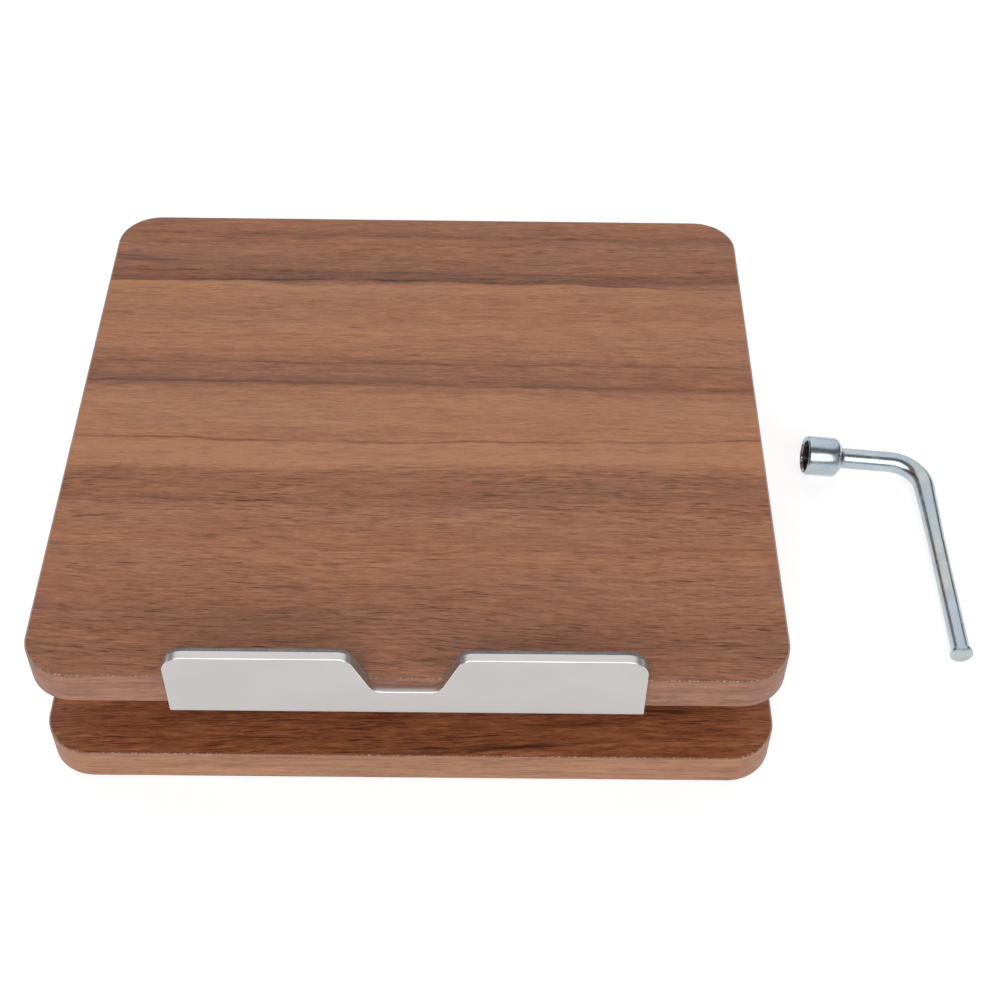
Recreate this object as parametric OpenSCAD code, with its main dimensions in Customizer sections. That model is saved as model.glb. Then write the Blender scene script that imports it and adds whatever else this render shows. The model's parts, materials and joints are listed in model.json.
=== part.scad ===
// Folding stand for a photo album: a base board, a tray board with a metal stop, and two steel arms that
// join them, shown folded flat, with the socket wrench for the hinge nuts lying beside it.
// Millimetres. +X right, +Y to the back, +Z up. The origin lies on the desk, under the middle of the base.

/* [Boards] */
// Width of both boards
board_w = 280; // [220:5:340]
// Depth of both boards, front to back
board_d = 261; // [215:1:330]
// Thickness of the tray board
tray_t = 15; // [12:0.5:20]
// Thickness of the base board
base_t = 15; // [12:0.5:20]
// Radius of the boards' upright corners
corner_r = 18; // [8:0.5:30]
// Radius of the boards' eased edges
edge_r = 0.6; // [0.4:0.1:3]
// Height of the space between the folded boards
gap_h = 34.5; // [28.5:0.5:46]

/* [Feet] */
// Radius of a rubber foot
foot_r = 8; // [5:0.5:12]
// Height of a rubber foot
foot_h = 2; // [1:0.5:5]
// Distance of a foot's centre from the base's edges
foot_inset = 26; // [20:1:40]

/* [Stop plate] */
// Length of the plate
plate_w = 172.5; // [140:0.5:208]
// Thickness of the sheet
plate_t = 3.4; // [1.5:0.1:4]
// Height of the lip above the tray
lip_h = 15.7; // [8:0.1:25]
// Depth of the flange under the tray
flange_d = 26; // [20:1:40]
// Radius of the lip's upper corners
plate_corner_r = 8; // [3:0.5:12]
// Width of the notch's floor
notch_floor_w = 24; // [15:1:40]
// Depth of the notch from the top of the lip
notch_depth = 19.1; // [10:0.1:24]
// Lean of the notch's sides from upright, in degrees
notch_lean = 23.5; // [10:0.5:40]
// Radius of the notch's corners
notch_r = 5.5; // [2:0.5:7]
// Thickness of the soft pads behind the lip
pad_t = 1.6; // [1:0.1:3]

/* [Arms] */
// Distance between the middles of the two arms
arm_spread = 144; // [110:2:180]
// Width of an arm
arm_w = 22; // [18:0.5:27]
// Thickness of an arm
arm_t = 4; // [3:0.5:6]
// Distance of the base hinge from the back edge
base_pivot_inset = 50; // [40:1:70]
// Distance of the tray hinge from the front edge
tray_pivot_inset = 65; // [55:1:90]
// Radius of the tube between the arms
tube_r = 6; // [5:0.5:9]

/* [Hinges] */
// Diameter of a hinge bolt
bolt_d = 8; // [6:0.5:9]
// Thickness of a bracket's sheet
bracket_t = 3; // [2:0.5:4]
// Width of a bracket's foot, across the board
bracket_w = 26; // [22:1:32]
// Length of a bracket's foot, along the board
bracket_l = 52; // [46:1:64]
// Width of a bracket's ear
ear_w = 24; // [20:1:28]
// Radius of the hinge washers
washer_r = 8; // [7:0.5:10]
// Thickness of a friction washer
friction_t = 1; // [0.5:0.25:2]
// Thickness of a flat washer
flat_washer_t = 1.6; // [1:0.2:2.4]
// Height of a disc spring
disc_h = 1.5; // [1.2:0.1:2.5]
// Width across the flats of a lock nut
nut_af = 13; // [11:0.5:16]
// Height of a lock nut
nut_h = 8; // [6:0.5:10]

/* [Wood screws] */
// Radius of a screw's shank
screw_r = 2; // [1.5:0.25:2.5]
// Radius of a screw's countersunk head
screw_head_r = 4; // [3:0.25:5]
// Wood left over a screw's tip
screw_cover = 4; // [2:0.5:6]

/* [Wrench] */
// Length of the handle, from the bend's corner
handle_l = 108.5; // [90:0.5:140]
// Length of the socket arm, from the bend's corner
socket_arm_l = 53; // [46:1:64]
// Length of the socket
socket_l = 16; // [12:0.5:20]
// Wall of the socket, at the corners of its hexagon
socket_wall = 1.1; // [0.8:0.1:2]
// Radius of the rod at the socket and the bend
rod_r = 4.6; // [3.5:0.1:5.5]
// Radius of the handle near its end
handle_r = 3.8; // [3:0.1:5]
// Radius of the bend, along the rod's middle
bend_r = 14; // [10:1:20]
// Distance of the handle from the base's right edge
wrench_aside = 84; // [60:0.5:120]
// Place of the socket arm behind the stand's middle
wrench_back = 36.9; // [0:0.1:80]

/* [Hidden] */
$fn = 96;

wood_colour = [0.55, 0.38, 0.29];
steel_colour = [0.62, 0.65, 0.68];
plate_colour = [0.78, 0.78, 0.77];
zinc_colour = [0.68, 0.72, 0.76];
rubber_colour = [0.12, 0.12, 0.12];
nylon_colour = [0.85, 0.84, 0.78];
pad_colour = [0.25, 0.25, 0.26];

// Clearance round a shaft that turns, and between faces that turn on each other
run_gap = 0.05;
// Overcut that takes a cutter clear past a face
past = 1;

// Heights
base_top = foot_h + base_t;
tray_bottom = base_top + gap_h;
tray_top = tray_bottom + tray_t;
pivot_z = base_top + gap_h / 2;
pivot_rise = gap_h / 2;

// Places of the two hinge lines
base_pivot_y = board_d / 2 - base_pivot_inset;
tray_pivot_y = tray_pivot_inset - board_d / 2;
tube_y = (base_pivot_y + tray_pivot_y) / 2;

// Hinge stack on the right-hand side, from the arm inwards and outwards along +X
bolt_r = bolt_d / 2;
arm_in = (arm_spread - arm_t) / 2;
arm_out = (arm_spread + arm_t) / 2;
inner_washer_x = arm_in - run_gap - friction_t;
ear_x = inner_washer_x - run_gap - bracket_t;
outer_washer_x = arm_out + run_gap;
flat_washer_x = outer_washer_x + friction_t;
disc_x = flat_washer_x + flat_washer_t;
nut_x = disc_x + disc_h;
bolt_end_x = nut_x + nut_h + 2;
bolt_head_r = 7;
bolt_head_h = 4.4;
bolt_key_af = 5;
bolt_key_depth = 2.8;
disc_t = 0.9;
nut_collar_h = 1.8;
nut_collar_r = nut_af / 2 - 0.6;

// Small screws
screw_head_h = screw_head_r - screw_r;
screw_key_af = 2.5;
screw_key_depth = 1.4;
tip_l = 3;
plate_screw_xs = [-plate_w / 2 + 14, 0, plate_w / 2 - 14];
plate_screw_y = flange_d * 0.6 - board_d / 2;
bracket_screw_dy = bracket_l / 2 - 8;
bracket_screw_dx = bracket_w / 2 + bracket_t / 2;
tube_screw_r = 3;
tube_screw_l = 14;
tube_screw_head_r = 5.2;
tube_screw_head_h = 3;
tube_thread_depth = 16;

// Stop plate
plate_bottom = tray_bottom - plate_t;
plate_h = plate_t + tray_t + lip_h;
plate_bend_in = 0.6;

// Wrench: the socket's bore takes the lock nut
socket_gap = 0.15;
socket_bore_r = (nut_af / 2 + socket_gap) / cos(30);
socket_r = socket_bore_r + socket_wall;
socket_depth = nut_h + 4;
handle_end_r = rod_r + 0.05;
handle_end_l = 3.5;
shoulder_l = 3;
shoulder_reach = socket_arm_l - socket_l + shoulder_l;
// Lean at which both the handle's end and the socket's shoulder touch the desk
wrench_lean = atan(socket_r / shoulder_reach) - asin(handle_end_r / norm([shoulder_reach, socket_r]));

// ---- Shared shapes ----

// Points of an outline whose corners are rounded: each entry is [x, y, radius]
function unit(v) = v / norm(v);
function corner_points(before, at, after, r, steps = 10) =
    let (
        a = unit([before.x - at.x, before.y - at.y]),
        b = unit([after.x - at.x, after.y - at.y]),
        half = acos(a * b) / 2,
        centre = [at.x, at.y] + unit(a + b) * r / sin(half),
        start = [at.x, at.y] + a * r / tan(half) - centre,
        turn = (180 - 2 * half) * sign(a.y * b.x - a.x * b.y)
    )
    [for (i = [0:steps]) let (t = turn * i / steps)
        centre + [start.x * cos(t) - start.y * sin(t), start.x * sin(t) + start.y * cos(t)]];
function rounded_outline(corners) = [
    for (i = [0:len(corners) - 1])
        let (before = corners[(i + len(corners) - 1) % len(corners)], at = corners[i],
             after = corners[(i + 1) % len(corners)])
        each at.z > 0 ? corner_points(before, at, after, at.z) : [[at.x, at.y]]
];

module rounded_rectangle(w, d, r) {
    square([w - 2 * r, d], center = true);
    square([w, d - 2 * r], center = true);
    for (x = [-1, 1], y = [-1, 1])
        translate([x * (w / 2 - r), y * (d / 2 - r)]) circle(r);
}

// A board with upright rounded corners and quarter-round edges, standing on z = 0
module board(t) {
    translate([0, 0, edge_r]) linear_extrude(t - 2 * edge_r) rounded_rectangle(board_w, board_d, corner_r);
    linear_extrude(t) rounded_rectangle(board_w - 2 * edge_r, board_d - 2 * edge_r, corner_r - edge_r);
    for (z = [edge_r, t - edge_r]) translate([0, 0, z]) {
        for (x = [-1, 1]) translate([x * (board_w / 2 - edge_r), 0, 0])
            rotate([90, 0, 0]) cylinder(r = edge_r, h = board_d - 2 * corner_r, center = true);
        for (y = [-1, 1]) translate([0, y * (board_d / 2 - edge_r), 0])
            rotate([0, 90, 0]) cylinder(r = edge_r, h = board_w - 2 * corner_r, center = true);
        for (x = [-1, 1], y = [-1, 1])
            translate([x * (board_w / 2 - corner_r), y * (board_d / 2 - corner_r), 0])
                rotate_extrude() translate([corner_r - edge_r, 0]) circle(edge_r);
    }
}

// A countersunk screw whose head's face is at z = 0, pointing down
module wood_screw(l) {
    difference() {
        union() {
            translate([0, 0, -screw_head_h]) cylinder(r1 = screw_r, r2 = screw_head_r, h = screw_head_h);
            translate([0, 0, tip_l - l]) cylinder(r = screw_r, h = l - tip_l - screw_head_h);
            translate([0, 0, -l]) cylinder(r1 = 0.3, r2 = screw_r, h = tip_l);
        }
        translate([0, 0, -screw_key_depth])
            cylinder(r = screw_key_af / sqrt(3), h = screw_key_depth + past, $fn = 6);
    }
}

// What a countersunk screw needs cut away in sheet metal of thickness t, from its face down
module sheet_screw_cut(t) {
    translate([0, 0, -screw_head_h])
        cylinder(r1 = screw_r + run_gap, r2 = screw_head_r + run_gap, h = screw_head_h);
    translate([0, 0, -t - past]) cylinder(r = screw_r + run_gap, h = t + past);
    cylinder(r = screw_head_r + run_gap, h = past);
}

// The pilot hole of a screw that stops short of the far face of a board of thickness t
module pilot_cut(t) {
    depth = t - screw_cover + 0.5;
    translate([0, 0, -depth]) cylinder(r = screw_r + run_gap, h = depth + past);
}

// A shape and its mirror image on the left
module both_sides() {
    children();
    mirror([1, 0, 0]) children();
}

// Takes what is modelled at the base hinge, on the base's top, to a hinge line
module at_base_hinge() {
    translate([0, base_pivot_y, pivot_z]) children();
}

module at_tray_hinge() {
    translate([0, tray_pivot_y, pivot_z]) mirror([0, 0, 1]) children();
}

// ---- Boards, stop and feet ----

// Where a bracket's screws stand, from its hinge line, on the right
module bracket_screw_places() {
    for (y = [-1, 1]) translate([ear_x + bracket_t - bracket_screw_dx, y * bracket_screw_dy, 0]) children();
}

module base_board() {
    color(wood_colour) difference() {
        translate([0, 0, foot_h]) board(base_t);
        at_base_hinge() both_sides() bracket_screw_places()
            translate([0, 0, -pivot_rise]) pilot_cut(base_t);
    }
}

module plate_screw_places() {
    for (x = plate_screw_xs) translate([x, plate_screw_y, plate_bottom]) mirror([0, 0, 1]) children();
}

module tray_board() {
    color(wood_colour) difference() {
        translate([0, 0, tray_bottom]) board(tray_t);
        at_tray_hinge() both_sides() bracket_screw_places()
            translate([0, 0, -pivot_rise]) pilot_cut(tray_t);
        plate_screw_places() translate([0, 0, -plate_t]) pilot_cut(tray_t);
    }
}

// The bent sheet's section, from the front face back: x runs back, y runs up
module plate_section() {
    polygon(rounded_outline([
        [0, 0, plate_t + plate_bend_in], [flange_d, 0, 0], [flange_d, plate_t, 0],
        [plate_t, plate_t, plate_bend_in], [plate_t, plate_h, 0], [0, plate_h, 0],
    ]));
}

// The notch, with its sides leaning outwards and all its corners rounded
module notch_outline() {
    floor_y = plate_h - notch_depth;
    half_floor = notch_floor_w / 2;
    half_top = half_floor + notch_depth * tan(notch_lean);
    polygon(rounded_outline([
        [-half_floor, floor_y, notch_r], [half_floor, floor_y, notch_r],
        [half_top, plate_h, notch_r], [half_top + 2 * notch_r, plate_h, 0],
        [half_top + 2 * notch_r, plate_h + past, 0], [-half_top - 2 * notch_r, plate_h + past, 0],
        [-half_top - 2 * notch_r, plate_h, 0], [-half_top, plate_h, notch_r],
    ]));
}

// What the lip's outline leaves out at its rounded upper corners
module lip_corner_outlines() {
    for (x = [-1, 1]) difference() {
        translate([x * (plate_w / 2 - plate_corner_r / 2 + past / 2), plate_h - plate_corner_r / 2 + past / 2])
            square(plate_corner_r + past, center = true);
        translate([x * (plate_w / 2 - plate_corner_r), plate_h - plate_corner_r]) circle(plate_corner_r);
    }
}

module stop_plate() {
    color(plate_colour) difference() {
        translate([-plate_w / 2, -board_d / 2 - plate_t, plate_bottom])
            rotate([90, 0, 90]) linear_extrude(plate_w) plate_section();
        translate([0, -board_d / 2 + past, plate_bottom])
            rotate([90, 0, 0]) linear_extrude(plate_t + 2 * past) {
                notch_outline();
                lip_corner_outlines();
            }
        plate_screw_places() sheet_screw_cut(plate_t);
    }
}

// Soft pads glued to the back of the lip, standing on the tray, one on each side of the notch
module lip_pads() {
    lip_bottom = plate_t + tray_t;
    color(pad_colour) translate([0, -board_d / 2 + pad_t, plate_bottom])
        rotate([90, 0, 0]) linear_extrude(pad_t) difference() {
            translate([-plate_w / 2, lip_bottom]) square([plate_w, lip_h]);
            notch_outline();
            lip_corner_outlines();
        }
}

module stop_plate_screws() {
    color(zinc_colour) plate_screw_places() wood_screw(plate_t + tray_t - screw_cover);
}

module foot(x, y) {
    lip = foot_h * 0.3;
    color(rubber_colour) translate([x * (board_w / 2 - foot_inset), y * (board_d / 2 - foot_inset), 0])
        rotate_extrude() polygon([
            [0, 0], [foot_r - lip, 0], [foot_r, lip], [foot_r, foot_h], [0, foot_h],
        ]);
}

// ---- Brackets, arms and the tube between them ----

// The right-hand bracket of the base, with the hinge line at the origin
module bracket() {
    foot_corner_r = 5;
    color(steel_colour) difference() {
        union() {
            translate([ear_x, 0, 0]) rotate([90, 0, 90]) linear_extrude(bracket_t) {
                circle(ear_w / 2);
                translate([-ear_w / 2, -pivot_rise]) square([ear_w, pivot_rise]);
            }
            translate([ear_x + bracket_t - bracket_w, 0, -pivot_rise]) linear_extrude(bracket_t) {
                translate([0, -bracket_l / 2 + foot_corner_r]) square([bracket_w, bracket_l - 2 * foot_corner_r]);
                translate([foot_corner_r, -bracket_l / 2]) square([bracket_w - foot_corner_r, bracket_l]);
                for (y = [-1, 1]) translate([foot_corner_r, y * (bracket_l / 2 - foot_corner_r)])
                    circle(foot_corner_r);
            }
        }
        translate([ear_x - past, 0, 0]) rotate([0, 90, 0]) cylinder(r = bolt_r + run_gap, h = bracket_t + 2 * past);
        bracket_screw_places() translate([0, 0, bracket_t - pivot_rise]) sheet_screw_cut(bracket_t);
    }
}

module base_bracket_screws() {
    color(zinc_colour) at_base_hinge() both_sides() bracket_screw_places()
        translate([0, 0, bracket_t - pivot_rise]) wood_screw(bracket_t + base_t - screw_cover);
}

module tray_bracket_screws() {
    color(zinc_colour) at_tray_hinge() both_sides() bracket_screw_places()
        translate([0, 0, bracket_t - pivot_rise]) wood_screw(bracket_t + tray_t - screw_cover);
}

module arm() {
    color(steel_colour) translate([arm_in, 0, pivot_z]) rotate([90, 0, 90]) linear_extrude(arm_t) difference() {
        union() {
            for (y = [base_pivot_y, tray_pivot_y]) translate([y, 0]) circle(arm_w / 2);
            translate([tray_pivot_y, -arm_w / 2]) square([base_pivot_y - tray_pivot_y, arm_w]);
        }
        for (y = [base_pivot_y, tray_pivot_y]) translate([y, 0]) circle(bolt_r + run_gap);
        translate([tube_y, 0]) circle(tube_screw_r + run_gap);
    }
}

module cross_tube() {
    color(steel_colour) translate([0, tube_y, pivot_z]) rotate([0, 90, 0]) difference() {
        cylinder(r = tube_r, h = 2 * arm_in, center = true);
        for (end = [-1, 1]) translate([0, 0, end * (arm_in - tube_thread_depth / 2)])
            cylinder(r = tube_screw_r + run_gap, h = tube_thread_depth + run_gap, center = true);
    }
}

// A button-head screw along +X from its head's underface at the origin, with a hexagon key recess
module button_screw(r, l, head_r, head_h, key_af, key_depth) {
    rotate([0, 90, 0]) difference() {
        rotate_extrude() polygon([
            [0, -head_h], [head_r * 0.6, -head_h], [head_r * 0.85, -head_h * 0.75], [head_r, -head_h * 0.35],
            [head_r, 0], [r, 0], [r, l - 0.8], [r - 0.8, l], [0, l],
        ]);
        translate([0, 0, -head_h - past]) cylinder(r = key_af / sqrt(3), h = key_depth + past, $fn = 6);
    }
}

module cross_tube_screws() {
    color(zinc_colour) both_sides() translate([arm_out, tube_y, pivot_z]) mirror([1, 0, 0])
        button_screw(tube_screw_r, tube_screw_l, tube_screw_head_r, tube_screw_head_h, 4, 2);
}

// ---- Hinge hardware, on the hinge line at the origin ----

module along_x(x) {
    translate([x, 0, 0]) rotate([0, 90, 0]) children();
}

module ring(r_in, r_out, h) {
    difference() {
        cylinder(r = r_out, h = h);
        translate([0, 0, -past]) cylinder(r = r_in, h = h + 2 * past);
    }
}

module hinge_bolts() {
    head_x = ear_x - run_gap;
    color(zinc_colour) both_sides() translate([head_x, 0, 0])
        button_screw(bolt_r, bolt_end_x - head_x, bolt_head_r, bolt_head_h, bolt_key_af, bolt_key_depth);
}

module friction_washers() {
    color(nylon_colour) both_sides() for (x = [inner_washer_x, outer_washer_x])
        along_x(x) ring(bolt_r + run_gap, washer_r, friction_t);
}

module flat_washers() {
    color(zinc_colour) both_sides() along_x(flat_washer_x) ring(bolt_r + run_gap, washer_r, flat_washer_t);
}

module disc_springs() {
    color(steel_colour) both_sides() along_x(disc_x) rotate_extrude() polygon([
        [bolt_r + 0.2, disc_h - disc_t], [washer_r - 0.2, 0], [washer_r - 0.2, disc_t], [bolt_r + 0.2, disc_h],
    ]);
}

module lock_nuts() {
    color(zinc_colour) both_sides() along_x(nut_x) difference() {
        union() {
            cylinder(r = nut_af / sqrt(3), h = nut_h - nut_collar_h, $fn = 6);
            cylinder(r = nut_collar_r, h = nut_h);
        }
        translate([0, 0, -past]) cylinder(r = bolt_r + run_gap, h = nut_h + 2 * past);
    }
}

// ---- Wrench ----

// The handle runs along -Y and the socket arm along -X from the corner where their middles cross
module socket_wrench() {
    handle_straight = handle_l - bend_r;
    arm_straight = socket_arm_l - bend_r - socket_l;
    color(zinc_colour) translate([board_w / 2 + wrench_aside, wrench_back, handle_end_r])
        rotate([0, wrench_lean, 0]) {
            translate([-bend_r, -bend_r, 0]) rotate_extrude(angle = 90) translate([bend_r, 0]) circle(rod_r);
            translate([0, -bend_r, 0]) rotate([90, 0, 0]) {
                cylinder(r1 = rod_r, r2 = handle_r, h = handle_straight / 3);
                cylinder(r = handle_r, h = handle_straight - handle_end_l);
                translate([0, 0, handle_straight - handle_end_l]) rotate_extrude() polygon([
                    [0, 0], [handle_r, 0], [handle_end_r, 1], [handle_end_r, 2.4], [handle_r, handle_end_l],
                    [0, handle_end_l],
                ]);
            }
            translate([-bend_r, 0, 0]) rotate([0, -90, 0]) difference() {
                union() {
                    cylinder(r = rod_r, h = arm_straight + shoulder_l);
                    translate([0, 0, arm_straight]) cylinder(r1 = rod_r + 1, r2 = socket_r, h = shoulder_l);
                    translate([0, 0, arm_straight + shoulder_l]) cylinder(r = socket_r, h = socket_l - shoulder_l - 1);
                    translate([0, 0, arm_straight + socket_l - 1]) cylinder(r1 = socket_r, r2 = socket_r - 0.7, h = 1);
                }
                translate([0, 0, arm_straight + socket_l - socket_depth])
                    cylinder(r = socket_bore_r, h = socket_depth + past, $fn = 6);
            }
        }
}

base_board();
tray_board();
stop_plate();
stop_plate_screws();
lip_pads();
foot(-1, -1);  // foot_front_left
foot(1, -1);  // foot_front_right
foot(-1, 1);  // foot_rear_left
foot(1, 1);  // foot_rear_right
mirror([1, 0, 0]) at_base_hinge() bracket();  // base_bracket_left
at_base_hinge() bracket();  // base_bracket_right
mirror([1, 0, 0]) at_tray_hinge() bracket();  // tray_bracket_left
at_tray_hinge() bracket();  // tray_bracket_right
base_bracket_screws();
tray_bracket_screws();
mirror([1, 0, 0]) arm();  // arm_left
arm();  // arm_right
cross_tube();
cross_tube_screws();
at_base_hinge() hinge_bolts();  // base_hinge_bolts
at_base_hinge() lock_nuts();  // base_lock_nuts
at_base_hinge() friction_washers();  // base_friction_washers
at_base_hinge() flat_washers();  // base_flat_washers
at_base_hinge() disc_springs();  // base_disc_springs
at_tray_hinge() hinge_bolts();  // tray_hinge_bolts
at_tray_hinge() lock_nuts();  // tray_lock_nuts
at_tray_hinge() friction_washers();  // tray_friction_washers
at_tray_hinge() flat_washers();  // tray_flat_washers
at_tray_hinge() disc_springs();  // tray_disc_springs
socket_wrench();
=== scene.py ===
import json
import math

import bmesh
import bpy
from mathutils import Matrix, Vector


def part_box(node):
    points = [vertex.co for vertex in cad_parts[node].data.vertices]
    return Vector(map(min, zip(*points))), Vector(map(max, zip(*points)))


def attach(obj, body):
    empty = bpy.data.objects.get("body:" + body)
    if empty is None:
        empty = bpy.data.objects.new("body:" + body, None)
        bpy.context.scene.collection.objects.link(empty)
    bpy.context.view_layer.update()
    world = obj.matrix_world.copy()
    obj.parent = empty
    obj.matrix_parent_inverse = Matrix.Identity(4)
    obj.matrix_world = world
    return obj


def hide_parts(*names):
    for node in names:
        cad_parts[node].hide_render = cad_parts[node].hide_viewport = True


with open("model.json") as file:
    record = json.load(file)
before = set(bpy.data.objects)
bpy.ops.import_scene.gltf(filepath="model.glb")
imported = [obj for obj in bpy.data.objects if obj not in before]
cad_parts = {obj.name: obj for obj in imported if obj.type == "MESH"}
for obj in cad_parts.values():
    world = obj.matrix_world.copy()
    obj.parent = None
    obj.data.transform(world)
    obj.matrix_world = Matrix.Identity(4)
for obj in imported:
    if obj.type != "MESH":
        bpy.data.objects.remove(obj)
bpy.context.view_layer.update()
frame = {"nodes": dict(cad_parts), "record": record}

nodes = frame["nodes"]
mm = 0.001


# small helpers for meshes

def linkMesh(name, bm, materials):
    # turns a finished bmesh into an object at the origin, smooth where its faces meet gently
    mesh = bpy.data.meshes.new(name)
    bm.to_mesh(mesh)
    bm.free()
    for material in materials:
        mesh.materials.append(material)
    mesh.shade_smooth()
    mesh.set_sharp_from_angle(angle=math.radians(32))
    piece = bpy.data.objects.new(name, mesh)
    bpy.context.scene.collection.objects.link(piece)
    return piece


def closeUp(bm):
    # joins doubled points and turns every face outwards
    bmesh.ops.remove_doubles(bm, verts=bm.verts, dist=1e-6)
    bmesh.ops.recalc_face_normals(bm, faces=bm.faces)


def stand(piece, body, slotName, *replaced):
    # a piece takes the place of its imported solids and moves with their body
    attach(piece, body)
    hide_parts(*replaced)
    return piece


def sharpEdges(bm, degrees=30):
    return [e for e in bm.edges if len(e.link_faces) == 2 and e.calc_face_angle(0) > math.radians(degrees)]


def roundEdges(bm, edges, radius, segments=2):
    return bmesh.ops.bevel(bm, geom=edges, offset=radius, offset_type="OFFSET", segments=segments,
                           profile=0.5, affect="EDGES", clamp_overlap=True, material=-1)


def ringOf(made):
    # the new open ring of edges after an extrusion
    fresh = {v for v in made["geom"] if isinstance(v, bmesh.types.BMVert)}
    return [e for e in made["geom"] if isinstance(e, bmesh.types.BMEdge) and set(e.verts) <= fresh]


def ringPoints(ring):
    return list({v for e in ring for v in e.verts})


def growTube(bm, ring, direction, radius, steps):
    # carries an open ring of the given radius along a direction; each step is (distance, its new radius)
    for distance, wanted in steps:
        ring = ringOf(bmesh.ops.extrude_edge_only(bm, edges=ring))
        points = ringPoints(ring)
        centre = sum((v.co for v in points), Vector()) / len(points)
        bmesh.ops.scale(bm, vec=Vector((wanted / radius,) * 3), space=Matrix.Translation(-centre), verts=points)
        bmesh.ops.translate(bm, vec=direction * distance, verts=points)
        radius = wanted
    return ring


def flatOutline(bm, corners, plane):
    # a face from a few corners (a, b, radius), with its corners rounded; plane turns (a, b) into a place
    points = [bm.verts.new(plane(a, b)) for a, b, radius in corners]
    bm.faces.new(points)
    bm.verts.index_update()
    for i, (a, b, radius) in enumerate(corners):
        if radius > 0:
            before, after = corners[i - 1], corners[(i + 1) % len(corners)]
            inward = Vector((before[0] - a, before[1] - b)).normalized()
            onward = Vector((after[0] - a, after[1] - b)).normalized()
            half = inward.angle(onward) / 2
            bmesh.ops.bevel(bm, geom=[points[i]], offset=radius / math.tan(half), offset_type="OFFSET",
                            segments=10, profile=0.5, affect="VERTICES", clamp_overlap=False, material=-1)
    return bm.faces[:]


def pushOut(bm, faces, vector):
    made = bmesh.ops.extrude_face_region(bm, geom=faces)
    bmesh.ops.translate(bm, vec=vector, verts=[v for v in made["geom"] if isinstance(v, bmesh.types.BMVert)])
    bmesh.ops.recalc_face_normals(bm, faces=bm.faces)


def carve(piece, cutters):
    # cuts or keeps with each (cutter, operation), then lets the cutters go
    for cutter, operation in cutters:
        modifier = piece.modifiers.new("cut", "BOOLEAN")
        modifier.object = cutter
        modifier.operation = operation
        modifier.solver = "EXACT"
    graph = bpy.context.evaluated_depsgraph_get()
    carved = bpy.data.meshes.new_from_object(piece.evaluated_get(graph))
    piece.modifiers.clear()
    piece.data = carved
    for cutter, operation in cutters:
        bpy.data.objects.remove(cutter)
    return piece


def reopen(piece):
    # takes a carved piece back into a bmesh, with flat areas joined up again
    bm = bmesh.new()
    bm.from_mesh(piece.data)
    bpy.data.objects.remove(piece)
    bmesh.ops.remove_doubles(bm, verts=bm.verts, dist=2e-6)
    bmesh.ops.dissolve_limit(bm, angle_limit=math.radians(0.5), use_dissolve_boundaries=False,
                             verts=bm.verts, edges=bm.edges)
    return bm


def camel(nodeName):
    first, *others = nodeName.split("_")
    return first + "".join(word.capitalize() for word in others)


def easedCopy(name, nodeName, radius, materials, segments=2):
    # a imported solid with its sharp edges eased
    bm = bmesh.new()
    bm.from_mesh(nodes[nodeName].data)
    bmesh.ops.remove_doubles(bm, verts=bm.verts, dist=1e-6)
    bmesh.ops.dissolve_limit(bm, angle_limit=math.radians(0.5), use_dissolve_boundaries=False,
                             verts=bm.verts, edges=bm.edges)
    roundEdges(bm, sharpEdges(bm), radius, segments)
    return linkMesh(name, bm, materials)


# a small way of writing shader maths

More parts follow.
